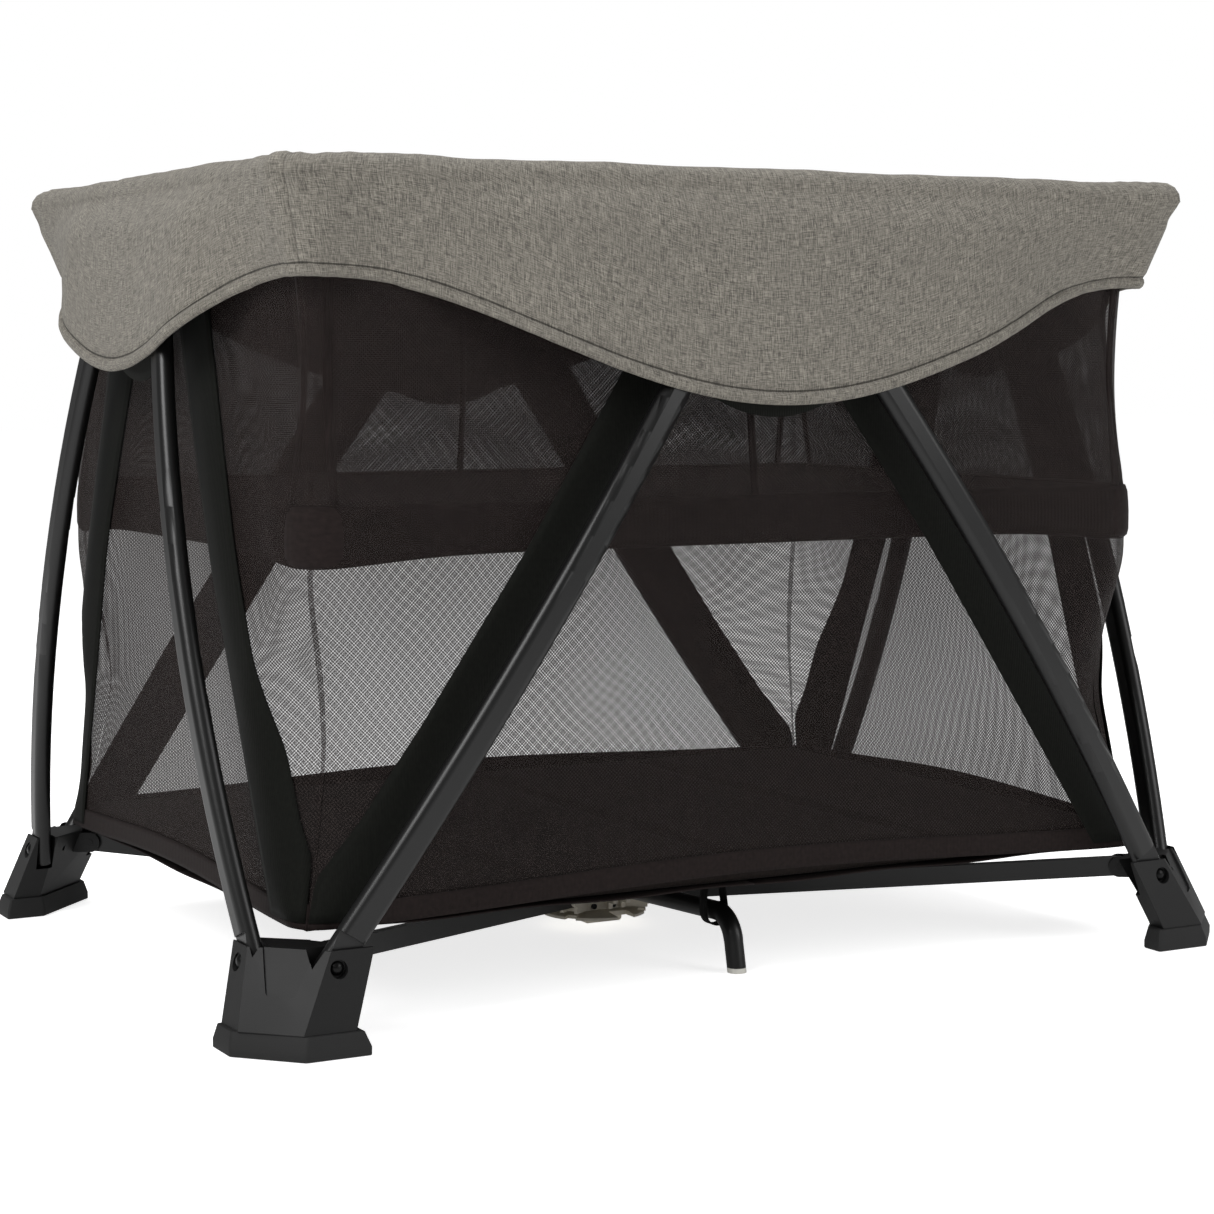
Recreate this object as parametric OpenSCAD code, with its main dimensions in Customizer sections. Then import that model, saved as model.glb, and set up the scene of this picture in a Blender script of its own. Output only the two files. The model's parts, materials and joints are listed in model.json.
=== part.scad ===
/* [Frame] */
// Half distance between the two long-leg pivots on one long side
long_foot_x = 472.3; // [471:0.1:474]
// Height of the leg pivots above the floor
leg_pivot_z = 76; // [75:0.5:77]
// Half spacing of the two leg pivots in a long-side hub
long_hub_x = 45; // [44:0.5:46]
// Height of the leg pivots in a long-side hub
long_hub_z = 705; // [704:0.5:706]
// Half distance between the two short-leg pivots on one short side
short_foot_y = 324.1; // [323.5:0.1:325]
// Half spacing of the two leg pivots in a short-side hub
short_hub_y = 75; // [74:0.5:76]
// Height of the leg pivots in a short-side hub
short_hub_z = 712; // [711:0.5:713]
// Width of the oval leg tube, in the plane of its side
leg_w = 30; // [28:0.5:30]
// Thickness of the oval leg tube
leg_t = 18; // [16:0.5:18]
// Wall of the leg tube
leg_wall = 1.6; // [1.2:0.1:2.5]
// Outward bow of a long-side leg
long_bow = 30; // [24:1:32]
// Outward bow of a short-side leg
short_bow = 24; // [20:1:26]

/* [Top rail] */
// Half distance between the long rails
rail_y = 352; // [351.5:0.1:352.5]
// Half distance between the short rails
rail_x = 492; // [491.5:0.1:492.5]
// Height of the rail axis
rail_z = 788; // [787:0.5:789]
// Diameter of the rail tube
rail_d = 20; // [18:0.5:20]

/* [Floor frame] */
// Radius of the circle of bar pivots on the floor hub
hub_pivot_r = 61.3; // [61:0.1:61.6]
// Height of the bar pivots on the floor hub
hub_pivot_z = 38; // [37:0.5:39]
// Diameter of the floor hub plate
hub_plate_w = 116; // [110:1:118]
// Height of a floor bar
bar_h = 20; // [18:0.5:20]
// Thickness of a floor bar
bar_t = 12; // [10:0.5:12]

/* [Fabric] */
// Half length of the mesh enclosure
wall_x = 489; // [488.5:0.1:489.5]
// Half width of the mesh enclosure
wall_y = 349; // [348.6:0.1:349.2]
// Height of the sewn floor panel
floor_z = 98; // [97.5:0.1:98.5]
// Thickness of the mattress
mattress_t = 22; // [15:1:30]
// Underside of the raised bassinet
bassinet_z = 434; // [428:1:438]
// Top of the bassinet floor
bassinet_floor_z = 489; // [486:1:494]
// Thickness of the padded cover
cover_t = 4; // [3:0.5:4.5]
// Height of the cover hem at the corners
hem_corner_z = 697; // [690:1:705]
// Height of the cover hem at the middle of a long side
hem_long_z = 580; // [575:1:600]
// Height of the cover hem at the middle of a short side
hem_short_z = 612; // [605:1:625]

/* [Hidden] */
$fn = 48;
fit = 0.05;
gap = 0.5;
big = 2000;
// pins
leg_pin_r = 4;
bar_pin_r = 3.5;
rail_pin_r = 3;
// foot
short_foot_x = 525.8;
long_foot_y = 379.4;
bracket_x = 462.9;
bracket_y = 336.1;
bracket_z = 77.7;
rim_z = 92;
sole_h = 22;
face_tilt = 28.6;
panel_depth = 1.8;
leg_end = 13;
leg_plug = 34;
long_leg_flat = 31;
short_leg_flat = 24;
// side hubs
long_plane_y = 372;
short_plane_x = 516;
plate_t = 5.4;
slot_half = leg_t / 2 + 0.6;
plate_out = slot_half + plate_t;
// rails
long_rail_pivot = 75;
short_rail_pivot = 13;
short_rail_end = 323;
long_rail_end = 470;
tongue_t = 8;
tongue_r = 9;
// floor bars
diag = atan2(bracket_y, bracket_x);
hub_pivot_x = hub_pivot_r * cos(diag);
hub_pivot_y = hub_pivot_r * sin(diag);
bar_run = norm([bracket_x - hub_pivot_x, bracket_y - hub_pivot_y]);
bar_rise = bracket_z - hub_pivot_z;
bar_len = norm([bar_run, bar_rise]);
bar_tilt = atan2(bar_rise, bar_run);
// legs
long_dx = long_foot_x - long_hub_x;
long_dy = long_foot_y - long_plane_y;
long_dz = long_hub_z - leg_pivot_z;
long_len = norm([long_dx, long_dy, long_dz]);
long_lean = atan2(long_dx, long_dz);
long_tip = asin(long_dy / long_len);
short_dy = short_foot_y - short_hub_y;
short_dx = short_foot_x - short_plane_x;
short_dz = short_hub_z - leg_pivot_z;
short_len = norm([short_dx, short_dy, short_dz]);
short_lean = atan2(short_dy, short_dz);
short_tip = asin(short_dx / short_len);
// support legs
support_x = 11;
support_y = 46;
support_z = 46;
support_r = 10;
tip_y = 289;
tip_lean = 12.5;
arm_rise = 2.98;
bend_r = 32;
bend_turn = 90 - tip_lean + arm_rise;
cap_h = 5;
tube_step = 0.2;
// height of the corner where the two straights of a support leg would meet
corner_z = (support_z + (tip_y - support_y) * tan(arm_rise)) / (1 + tan(tip_lean) * tan(arm_rise));
corner_y = tip_y - corner_z * tan(tip_lean);
bend_reach = bend_r * tan(bend_turn / 2);

// Every corner piece is drawn at the right rear corner and mirrored to the others.
module at_corner(left, front) {
    mirror([left ? 1 : 0, 0, 0]) mirror([0, front ? 1 : 0, 0]) children();
}

// ---- shared 2D and 3D shapes ----

module rounded_rect(w, h, r) {
    square([w - 2 * r, h], center = true);
    square([w, h - 2 * r], center = true);
    for (x = [-1, 1], y = [-1, 1]) translate([x * (w / 2 - r), y * (h / 2 - r)]) circle(r);
}

// Stadium outline, t thick along X and w wide along Y
module oval(w, t) {
    square([t, w - t], center = true);
    for (y = [-1, 1]) translate([0, y * (w - t) / 2]) circle(t / 2);
}

module along_x(len) {
    rotate([90, 0, 90]) linear_extrude(len) children();
}

// Bowed oval tube whose two pivot points lie on the Z axis, bowing towards +X
module bowed_leg(chord, bow, flat) {
    radius = (chord * chord / 4 + bow * bow) / (2 * bow);
    half = asin(chord / (2 * radius));
    end = leg_end * 180 / (PI * radius);
    plug = (leg_end + leg_plug) * 180 / (PI * radius);
    difference() {
        translate([0, 0, chord / 2]) rotate([90, 0, 0]) translate([-radius * cos(half), 0, 0])
            difference() {
                rotate([0, 0, -half - end]) rotate_extrude(angle = 2 * (half + end))
                    translate([radius, 0]) oval(leg_w, leg_t);
                rotate([0, 0, -half - end + plug]) rotate_extrude(angle = 2 * (half + end - plug))
                    translate([radius, 0]) oval(leg_w - 2 * leg_wall, leg_t - 2 * leg_wall);
            }
        // the solid ends are flat, to turn between the cheeks of a foot or a hub
        for (z = [0, chord], s = [-1, 1])
            translate([s * leg_t, 0, z]) cube([leg_t, 2 * leg_w, 2 * flat], center = true);
    }
}

module leg_bore(x, y, z, turn) {
    translate([x, y, z]) rotate([90, 0, turn]) cylinder(r = leg_pin_r + fit, h = 4 * leg_t, center = true);
}

// Domed rivet along +X from the origin, with its head at the far end
module rivet(r, len, head_r) {
    rotate([0, 90, 0]) cylinder(r = r, h = len + 1);
    intersection() {
        translate([len - 4, 0, 0]) sphere(head_r + 1);
        translate([len + fit, 0, 0]) rotate([0, 90, 0]) cylinder(r = head_r, h = head_r);
    }
}

// ---- floor hub ----

module hub_ears(width) {
    for (s = [-1, 1])
        translate([0, s * (width / 2 + 2.5), 0]) {
            translate([-12, -2, -17]) cube([12, 4, 26]);
            rotate([90, 0, 0]) cylinder(r = 9, h = 4, center = true);
        }
}

module at_bar_pivots() {
    for (left = [false, true], front = [false, true])
        at_corner(left, front) rotate([0, 0, diag]) translate([hub_pivot_r, 0, hub_pivot_z]) children();
}

module at_support_pivots() {
    for (turn = [0, 180])
        rotate([0, 0, turn]) translate([support_x, -support_y, support_z]) children();
}

module hub_housing() {
    color("#c9c3b4")
    difference() {
        union() {
            // saucer, centre block and drum
            translate([0, 0, 13]) cylinder(d = hub_plate_w, h = 3);
            translate([0, 0, 16]) cylinder(d1 = hub_plate_w - 1, d2 = 62, h = 2.5);
            translate([0, 0, 13]) linear_extrude(30) rounded_rect(46, 46, 3);
            translate([0, 0, 38]) cylinder(r = 37, h = 22);
            at_bar_pivots() hub_ears(bar_t);
            at_bar_pivots() translate([-26, -10.5, -17]) cube([14, 21, 24]);
            at_support_pivots() for (s = [-1, 1]) translate([s * 8, 0, 0]) {
                rotate([0, 90, 0]) cylinder(r = 9, h = 5, center = true);
                translate([-2.5, 0, -25]) cube([5, 18, 34]);
            }
        }
        at_bar_pivots() {
            rotate([90, 0, 0]) cylinder(r = bar_pin_r + fit, h = 30, center = true);
            translate([-11.5, -bar_t / 2 - 0.5, -40]) cube([40, bar_t + 1, 60]);
        }
        at_support_pivots() {
            rotate([0, 90, 0]) cylinder(r = rail_pin_r + fit, h = 40, center = true);
            translate([-5.5, -30, -60]) cube([11, 40.5, 90]);
            translate([-support_r - 1, -30, -60]) cube([2 * support_r + 2, 41, 42]);
        }
    }
}

module hub_core() {
    color("#d6d1c4")
        translate([0, 0, 8.7]) rotate([90, 0, 0]) linear_extrude(46, center = true) rounded_rect(46, 8, 3.9);
}

module hub_pins() {
    color("#2b2b2c") {
        at_bar_pivots() rotate([90, 0, 0]) cylinder(r = bar_pin_r, h = bar_t + 9, center = true);
        at_support_pivots() rotate([0, 90, 0]) cylinder(r = rail_pin_r, h = 21, center = true);
        for (x = [-12, 12], s = [-1, 1]) translate([x, s * 24.3, 23]) rotate([90, 0, 0])
            cylinder(r = 3, h = 2.5, center = true);
    }
}

module webbing_straps() {
    strap_w = 25;
    strap_t = 2;
    loop_y = 246;
    color("#1b1b1c") {
        // pull strap that lifts the hub
        for (x = [-16, 14]) translate([x, -strap_w / 2, 60.2]) cube([strap_t, strap_w, 34]);
        translate([-16, -strap_w / 2, 94.2]) cube([32, strap_w, strap_t]);
        // tie loop round the front support leg
        for (x = [-16, 14])
            translate([support_x + x, -loop_y - strap_w / 2, 44]) cube([strap_t, strap_w, floor_z - 44.6]);
        translate([support_x - 16, -loop_y - strap_w / 2, 42]) cube([32, strap_w, strap_t]);
    }
}

// ---- floor bars ----

module floor_bar() {
    color("#1d1d1e")
    rotate([0, 0, diag]) translate([hub_pivot_r, 0, hub_pivot_z]) rotate([0, -bar_tilt, 0])
    difference() {
        union() {
            translate([0, -bar_t / 2, -bar_h / 2]) cube([bar_len, bar_t, bar_h]);
            for (x = [0, bar_len]) translate([x, 0, 0])
                rotate([90, 0, 0]) cylinder(r = bar_h / 2, h = bar_t, center = true);
        }
        for (x = [0, bar_len]) translate([x, 0, 0])
            rotate([90, 0, 0]) cylinder(r = bar_pin_r + fit, h = 2 * bar_t, center = true);
        translate([20, -bar_t / 2 + 1.5, -bar_h / 2 - 1]) cube([bar_len - 40, bar_t - 3, bar_h - 0.5]);
    }
}

// ---- centre support legs ----

module tube_between(a, b, r) {
    d = b - a;
    translate(a) rotate([0, acos(d[2] / norm(d)), atan2(d[1], d[0])]) cylinder(r = r, h = norm(d));
}

// Last straight of the bent end, carried on below the floor so that it can be cut level
module bend_tip(r) {
    tip = [support_x, -tip_y, 0];
    way = [0, sin(tip_lean), cos(tip_lean)];
    tube_between(tip - way * 6, [support_x, -corner_y, corner_z] - way * (bend_reach - 1), r);
}

module support_leg() {
    start = [support_x, -support_y, support_z];
    way = [0, -cos(arm_rise), sin(arm_rise)];
    corner = [support_x, -corner_y, corner_z];
    color("#1d1d1e")
    difference() {
        union() {
            tube_between(start + way * 18, corner - way * (bend_reach - 1), support_r - tube_step);
            translate(corner - way * bend_reach) rotate([-arm_rise, 0, 0]) translate([0, 0, -bend_r])
                rotate([0, 0, -90]) rotate([90, 0, 0]) rotate([0, 0, 90 - bend_turn])
                rotate_extrude(angle = bend_turn) translate([bend_r, 0]) circle(support_r);
            bend_tip(support_r - tube_step);
            translate(start) rotate([0, 90, 0]) cylinder(r = 9, h = 10, center = true);
            translate(start + [-5, -20, -8]) cube([10, 20, 17]);
        }
        translate(start) rotate([0, 90, 0]) cylinder(r = rail_pin_r + fit, h = 30, center = true);
        translate([0, -tip_y - 40, -40]) cube([40, 80, 40 + cap_h + fit]);
    }
}

module support_cap() {
    color("#e8e6e0")
    intersection() {
        bend_tip(support_r - tube_step);
        translate([0, -tip_y - 40, 0]) cube([40, 80, cap_h]);
    }
}

// ---- feet ----

module foot() {
    color("#1f1f20")
    difference() {
        union() {
            hull() {
                translate([0, 0, rim_z - 2]) linear_extrude(2)
                    polygon([[436, 393], [478, 393], [537, 338], [537, 303], [514, 303],
                             [450, 370], [436, 370]]);
                translate([0, 0, sole_h]) linear_extrude(1)
                    polygon([[462, 413], [513, 413], [558, 367], [558, 326], [528, 326], [462, 392]]);
            }
            // ears for the floor bar
            translate([bracket_x, bracket_y, bracket_z]) rotate([0, 0, diag]) for (s = [-1, 1])
                translate([0, s * (bar_t / 2 + 2.5), 0]) {
                    rotate([90, 0, 0]) cylinder(r = 11, h = 4, center = true);
                    translate([0, -2, -11]) cube([30, 4, 22]);
                }
        }
        // pockets and bores for the two legs
        translate([425, long_foot_y - slot_half, 55]) cube([70, 2 * slot_half, 60]);
        translate([short_foot_x - slot_half, 285, 55]) cube([2 * slot_half, 61, 60]);
        translate([long_foot_x, 340, leg_pivot_z]) rotate([-90, 0, 0]) cylinder(r = leg_pin_r + fit, h = 80);
        translate([500, short_foot_y, leg_pivot_z]) rotate([0, 90, 0]) cylinder(r = leg_pin_r + fit, h = 60);
        // shallow panel in the chamfered face
        translate([507.5, 365.5, rim_z]) rotate([0, -face_tilt, 45]) translate([-panel_depth, 0, 0])
            along_x(20) offset(5) polygon([[-23, 10], [23, 10], [10, -40], [-10, -40]]);
        // seats for the rivet heads
        translate([long_foot_x, 392.5, leg_pivot_z]) rotate([-90, 0, 0]) cylinder(r = 8.5, h = 20);
        translate([538.5, short_foot_y, leg_pivot_z]) rotate([0, 90, 0]) cylinder(r = 8.5, h = 20);
        // room for the end of the floor bar
        translate([bracket_x, bracket_y, bracket_z]) rotate([0, 0, diag]) {
            rotate([90, 0, 0]) cylinder(r = bar_pin_r + fit, h = 30, center = true);
            translate([-30, -bar_t / 2 - 0.5, -30]) cube([42, bar_t + 1, 80]);
        }
    }
}

module foot_sole() {
    color("#161617")
    hull() {
        linear_extrude(8)
            polygon([[450, 421], [514, 421], [566, 366], [566, 322], [524, 322], [450, 396]]);
        translate([0, 0, sole_h - 1]) linear_extrude(1)
            polygon([[455, 416], [510, 416], [562, 360], [562, 324], [526, 324], [455, 396]]);
    }
}

module foot_rivets() {
    color("#0f0f10") {
        translate([long_foot_x, long_foot_y - slot_half - 4, leg_pivot_z]) rotate([0, 0, 90])
            rivet(leg_pin_r, 392.5 - long_foot_y + slot_half + 4, 7);
        translate([short_foot_x - slot_half - 4, short_foot_y, leg_pivot_z])
            rivet(leg_pin_r, 538.5 - short_foot_x + slot_half + 4, 7);
        translate([bracket_x, bracket_y, bracket_z]) rotate([90, 0, diag])
            cylinder(r = bar_pin_r, h = bar_t + 10, center = true);
    }
}

// ---- legs ----

module long_leg() {
    color("#1c1c1d")
    difference() {
        translate([long_foot_x, long_foot_y, leg_pivot_z])
            rotate([0, -long_lean, 0]) rotate([long_tip, 0, 0]) rotate([0, 0, 90])
            bowed_leg(long_len, long_bow, long_leg_flat);
        leg_bore(long_foot_x, long_foot_y, leg_pivot_z, 0);
        leg_bore(long_hub_x, long_plane_y, long_hub_z, 0);
    }
}

module short_leg() {
    color("#1c1c1d")
    difference() {
        translate([short_foot_x, short_foot_y, leg_pivot_z])
            rotate([short_lean, 0, 0]) rotate([0, -short_tip, 0]) bowed_leg(short_len, short_bow, short_leg_flat);
        leg_bore(short_foot_x, short_foot_y, leg_pivot_z, 90);
        leg_bore(short_plane_x, short_hub_y, short_hub_z, 90);
    }
}

// ---- side hubs, drawn on the +Y side: plane is the leg plane, pivot the rail pivot ----

module side_hub(plane, pin_x, pin_z, plate_w, rail_off, rail_pivot, web_w) {
    plate_low = pin_z - 17;
    plate_top = 750;
    web_low = 735;
    ear_in = 5;
    core_w = rail_pivot > 40 ? 2 * (rail_pivot - 13) : 4;
    color("#1a1a1b") {
        for (s = [-1, 1])
            translate([0, plane + s * (slot_half + plate_t / 2), (plate_low + plate_top) / 2])
                rotate([90, 0, 0]) linear_extrude(plate_t, center = true)
                rounded_rect(plate_w, plate_top - plate_low, 14);
        // web between the plates, and the neck up to the rail ears
        translate([-12, plane - slot_half, plate_low + 8])
            cube([24, 2 * slot_half, plate_top - plate_low - 8]);
        translate([-web_w / 2, plane - plate_out, web_low]) cube([web_w, 2 * plate_out, plate_top - web_low]);
        translate([-web_w / 2, rail_off + ear_in + 4, 740]) cube([web_w, 7, 56]);
        for (s = [-1, 1]) translate([0, rail_off + s * (ear_in + 2.5), rail_z])
            rotate([90, 0, 0]) linear_extrude(5, center = true)
            rounded_rect(2 * (rail_pivot + 9), 18, 8.9);
        translate([-core_w / 2, rail_off - ear_in, rail_z - 9]) cube([core_w, 2 * ear_in, 18]);
        // rail pins, and the pin of the leg that carries this hub
        for (s = [-1, 1]) translate([s * rail_pivot, rail_off, rail_z])
            rotate([90, 0, 0]) cylinder(r = rail_pin_r, h = 2 * ear_in + 1, center = true);
        translate([pin_x, plane, pin_z])
            rotate([90, 0, 0]) cylinder(r = leg_pin_r, h = 2 * slot_half + 1, center = true);
    }
}

module long_hub(carrier) {
    side_hub(long_plane_y, carrier * long_hub_x, long_hub_z, 112, rail_y, long_rail_pivot, 56);
}

module short_hub(carrier) {
    rotate([0, 0, -90])
        side_hub(short_plane_x, carrier * short_hub_y, short_hub_z, 180, rail_x, short_rail_pivot, 44);
}

// ---- top rails, drawn from their pivot outwards along +X ----

module rail_body(pivot, end, d) {
    difference() {
        union() {
            translate([pivot + 18, 0, 0]) rotate([0, 90, 0]) cylinder(d = d, h = end - pivot - 18);
            translate([pivot, -tongue_t / 2, -tongue_r]) cube([20, tongue_t, 2 * tongue_r]);
            translate([pivot, 0, 0]) rotate([90, 0, 0]) cylinder(r = tongue_r, h = tongue_t, center = true);
        }
        translate([pivot, 0, 0]) rotate([90, 0, 0]) cylinder(r = rail_pin_r + fit, h = 30, center = true);
        translate([pivot + 24, 0, 0]) rotate([0, 90, 0]) cylinder(d = d - 3, h = end);
    }
}

module long_rail() {
    color("#2a2a2b") translate([0, rail_y, rail_z]) rail_body(long_rail_pivot, long_rail_end, rail_d);
}

module short_rail() {
    color("#2a2a2b") translate([rail_x, 0, rail_z]) rotate([0, 0, 90])
        rail_body(short_rail_pivot, short_rail_end, rail_d - 3);
}

module corner_cap() {
    color("#222223")
    difference() {
        union() {
            translate([456, rail_y, rail_z]) rotate([0, 90, 0]) cylinder(r = rail_d / 2 + 1.2, h = 26);
            translate([486.5, rail_y, rail_z - 11]) linear_extrude(22) rounded_rect(33, 22, 8);
        }
        translate([450, rail_y, rail_z]) rotate([0, 90, 0])
            cylinder(r = rail_d / 2 + 0.02, h = long_rail_end - 450);
    }
}

// ---- fabric cover: a padded channel over the rails, with a scalloped hem ----

// Channel over the rail at distance rail, whose skirt hangs outside the side hub at distance out
module cover_shell(rail, out, len) {
    p = out + 0.8;
    translate([-len / 2, 0, 0]) along_x(len) polygon([
        [rail - 18, 768], [rail - 18, 800], [rail - 12, 806], [rail + 12, 806], [rail + 21, 800],
        [rail + 25, 788], [p + 2, 764], [p + cover_t, 750], [p + 3 + cover_t, 700], [p + 7 + cover_t, 640],
        [p + 13 + cover_t, 590], [p + 13 + cover_t, 500], [p + 13, 500], [p + 13, 590], [p + 7, 640],
        [p + 3, 700], [p, 750], [p - 2, 764], [rail + 20.5, 786], [rail + 17.5, 797],
        [rail + 11, 802], [rail - 11, 802], [rail - 14, 798], [rail - 14, 768]
    ]);
}

// Hem line: lowest at the middle, flat towards the corners
function hem_z(x, half, low) = hem_corner_z - (hem_corner_z - low) * pow(cos(90 * min(1, abs(x) / half)), 2);

module hem_cut(half, low) {
    steps = 24;
    points = [for (i = [0:steps]) let (x = -half + 2 * half * i / steps) [x, hem_z(x, half, low)]];
    rotate([90, 0, 0]) translate([0, 0, -700]) linear_extrude(700)
        polygon(concat([[-half - 200, 480], [-half - 200, hem_corner_z]], points,
            [[half + 200, hem_corner_z], [half + 200, 480]]));
}

// Wedge that keeps one side of the two mitred corners
module mitre(apex) {
    translate([0, apex + gap / 2, 400]) linear_extrude(500) polygon([[0, 0], [big, big], [-big, big]]);
}

module cover_side(rail, out, half, low, apex) {
    intersection() {
        difference() {
            cover_shell(rail, out, 2 * half + 180);
            hem_cut(half, low);
        }
        mitre(apex);
    }
}

module cover_long() {
    color("#7d7b76") cover_side(rail_y, long_plane_y + plate_out, 470, hem_long_z, rail_y - rail_x);
}

module cover_short() {
    color("#7d7b76") rotate([0, 0, -90])
        cover_side(rail_x, short_plane_x + plate_out, 330, hem_short_z, rail_x - rail_y);
}

// ---- mesh enclosure ----

module mesh_wall_long() {
    color("#2c2725") translate([-wall_x + 2.5, wall_y, floor_z + 4]) cube([2 * wall_x - 5, 2, 660]);
}

module mesh_wall_short() {
    color("#2c2725") translate([wall_x, -wall_y + 2.5, floor_z + 4]) cube([2, 2 * wall_y - 5, 660]);
}

module floor_panel() {
    color("#232021") translate([-wall_x + 2, -wall_y + 2, floor_z]) cube([2 * wall_x - 4, 2 * wall_y - 4, 3]);
}

module mattress() {
    color("#2a2726")
    translate([0, 0, floor_z + 4]) linear_extrude(mattress_t) rounded_rect(948, 668, 30);
}

module bassinet_tray() {
    depth = bassinet_floor_z - bassinet_z;
    color("#1e1b1b")
    difference() {
        translate([0, 0, bassinet_z]) linear_extrude(depth) rounded_rect(966, 688, 26);
        translate([0, 0, bassinet_z - 1]) linear_extrude(depth - 11) rounded_rect(958, 680, 22);
    }
}

module bassinet_liner() {
    liner_z = bassinet_floor_z + 1;
    liner_h = 269;
    color("#2c2725") {
        for (s = [-1, 1]) translate([-475, s * 342 - 1, liner_z]) cube([950, 2, liner_h]);
        for (s = [-1, 1]) translate([s * 481 - 1, -336, liner_z]) cube([2, 672, liner_h]);
    }
}

hub_housing();
hub_core();
hub_pins();
webbing_straps();
at_corner(true, true) floor_bar();  // floor_bar_fl
at_corner(false, true) floor_bar();  // floor_bar_fr
at_corner(true, false) floor_bar();  // floor_bar_bl
at_corner(false, false) floor_bar();  // floor_bar_br
support_leg();  // support_leg_front
rotate([0, 0, 180]) support_leg();  // support_leg_back
support_cap();  // support_cap_front
rotate([0, 0, 180]) support_cap();  // support_cap_back
at_corner(true, true) foot();  // foot_fl
at_corner(false, true) foot();  // foot_fr
at_corner(true, false) foot();  // foot_bl
at_corner(false, false) foot();  // foot_br
at_corner(true, true) foot_sole();  // foot_sole_fl
at_corner(false, true) foot_sole();  // foot_sole_fr
at_corner(true, false) foot_sole();  // foot_sole_bl
at_corner(false, false) foot_sole();  // foot_sole_br
at_corner(true, true) foot_rivets();  // foot_rivets_fl
at_corner(false, true) foot_rivets();  // foot_rivets_fr
at_corner(true, false) foot_rivets();  // foot_rivets_bl
at_corner(false, false) foot_rivets();  // foot_rivets_br
at_corner(true, true) long_leg();  // long_leg_fl
at_corner(false, true) long_leg();  // long_leg_fr
at_corner(true, false) long_leg();  // long_leg_bl
at_corner(false, false) long_leg();  // long_leg_br
at_corner(true, true) short_leg();  // short_leg_fl
at_corner(false, true) short_leg();  // short_leg_fr
at_corner(true, false) short_leg();  // short_leg_bl
at_corner(false, false) short_leg();  // short_leg_br
mirror([0, 1, 0]) long_hub(-1);  // long_hub_front
long_hub(1);  // long_hub_back
mirror([1, 0, 0]) short_hub(-1);  // short_hub_left
short_hub(1);  // short_hub_right
at_corner(true, true) long_rail();  // long_rail_fl
at_corner(false, true) long_rail();  // long_rail_fr
at_corner(true, false) long_rail();  // long_rail_bl
at_corner(false, false) long_rail();  // long_rail_br
at_corner(true, true) corner_cap();  // corner_cap_fl
at_corner(false, true) corner_cap();  // corner_cap_fr
at_corner(true, false) corner_cap();  // corner_cap_bl
at_corner(false, false) corner_cap();  // corner_cap_br
at_corner(true, true) short_rail();  // short_rail_fl
at_corner(false, true) short_rail();  // short_rail_fr
at_corner(true, false) short_rail();  // short_rail_bl
at_corner(false, false) short_rail();  // short_rail_br
mirror([0, 1, 0]) cover_long();  // cover_front
cover_long();  // cover_back
mirror([1, 0, 0]) cover_short();  // cover_left
cover_short();  // cover_right
mirror([0, 1, 0]) mesh_wall_long();  // mesh_wall_front
mesh_wall_long();  // mesh_wall_back
mirror([1, 0, 0]) mesh_wall_short();  // mesh_wall_left
mesh_wall_short();  // mesh_wall_right
floor_panel();
mattress();
bassinet_tray();
bassinet_liner();
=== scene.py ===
import json
import math

import bpy
import numpy as np
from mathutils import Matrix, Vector, noise

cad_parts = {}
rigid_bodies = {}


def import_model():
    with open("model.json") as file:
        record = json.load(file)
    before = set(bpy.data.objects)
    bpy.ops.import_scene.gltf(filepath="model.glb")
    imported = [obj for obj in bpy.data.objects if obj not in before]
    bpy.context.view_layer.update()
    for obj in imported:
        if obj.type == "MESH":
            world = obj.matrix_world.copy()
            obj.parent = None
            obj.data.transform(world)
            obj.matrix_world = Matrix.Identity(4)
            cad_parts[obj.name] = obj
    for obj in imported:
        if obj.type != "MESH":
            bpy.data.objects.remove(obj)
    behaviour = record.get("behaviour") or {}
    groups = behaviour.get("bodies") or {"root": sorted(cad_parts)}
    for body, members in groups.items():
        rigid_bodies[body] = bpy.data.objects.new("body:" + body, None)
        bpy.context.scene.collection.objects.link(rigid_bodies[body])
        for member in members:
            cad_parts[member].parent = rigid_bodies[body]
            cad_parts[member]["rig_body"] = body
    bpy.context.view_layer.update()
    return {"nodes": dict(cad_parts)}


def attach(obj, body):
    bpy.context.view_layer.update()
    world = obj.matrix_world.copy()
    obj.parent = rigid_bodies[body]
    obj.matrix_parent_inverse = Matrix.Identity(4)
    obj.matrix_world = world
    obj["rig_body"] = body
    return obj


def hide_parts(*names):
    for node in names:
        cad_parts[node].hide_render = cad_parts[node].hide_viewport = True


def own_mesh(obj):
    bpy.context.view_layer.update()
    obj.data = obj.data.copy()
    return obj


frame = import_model()
nodes = frame["nodes"]
print("frame loaded", len(nodes), "nodes")

# half length and half width of the top rail and of the mesh enclosure
railX, railY = 0.492, 0.352
wallX, wallY = 0.489, 0.349

# side name: direction along it, outward direction, is it a long side, body it folds with, squash axis
sides = {
    "front": ((1, 0), (0, -1), True, "long_hub_front", (1, 0, 0)),
    "back": ((-1, 0), (0, 1), True, "long_hub_back", (1, 0, 0)),
    "left": ((0, -1), (-1, 0), False, "short_hub_left", (0, 1, 0)),
    "right": ((0, 1), (1, 0), False, "short_hub_right", (0, 1, 0)),
}


def linear(hexColour):
    parts = [int(hexColour[i:i + 2], 16) / 255 for i in (0, 2, 4)]
    return [c / 12.92 if c <= 0.04045 else ((c + 0.055) / 1.055) ** 2.4 for c in parts] + [1.0]


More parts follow.
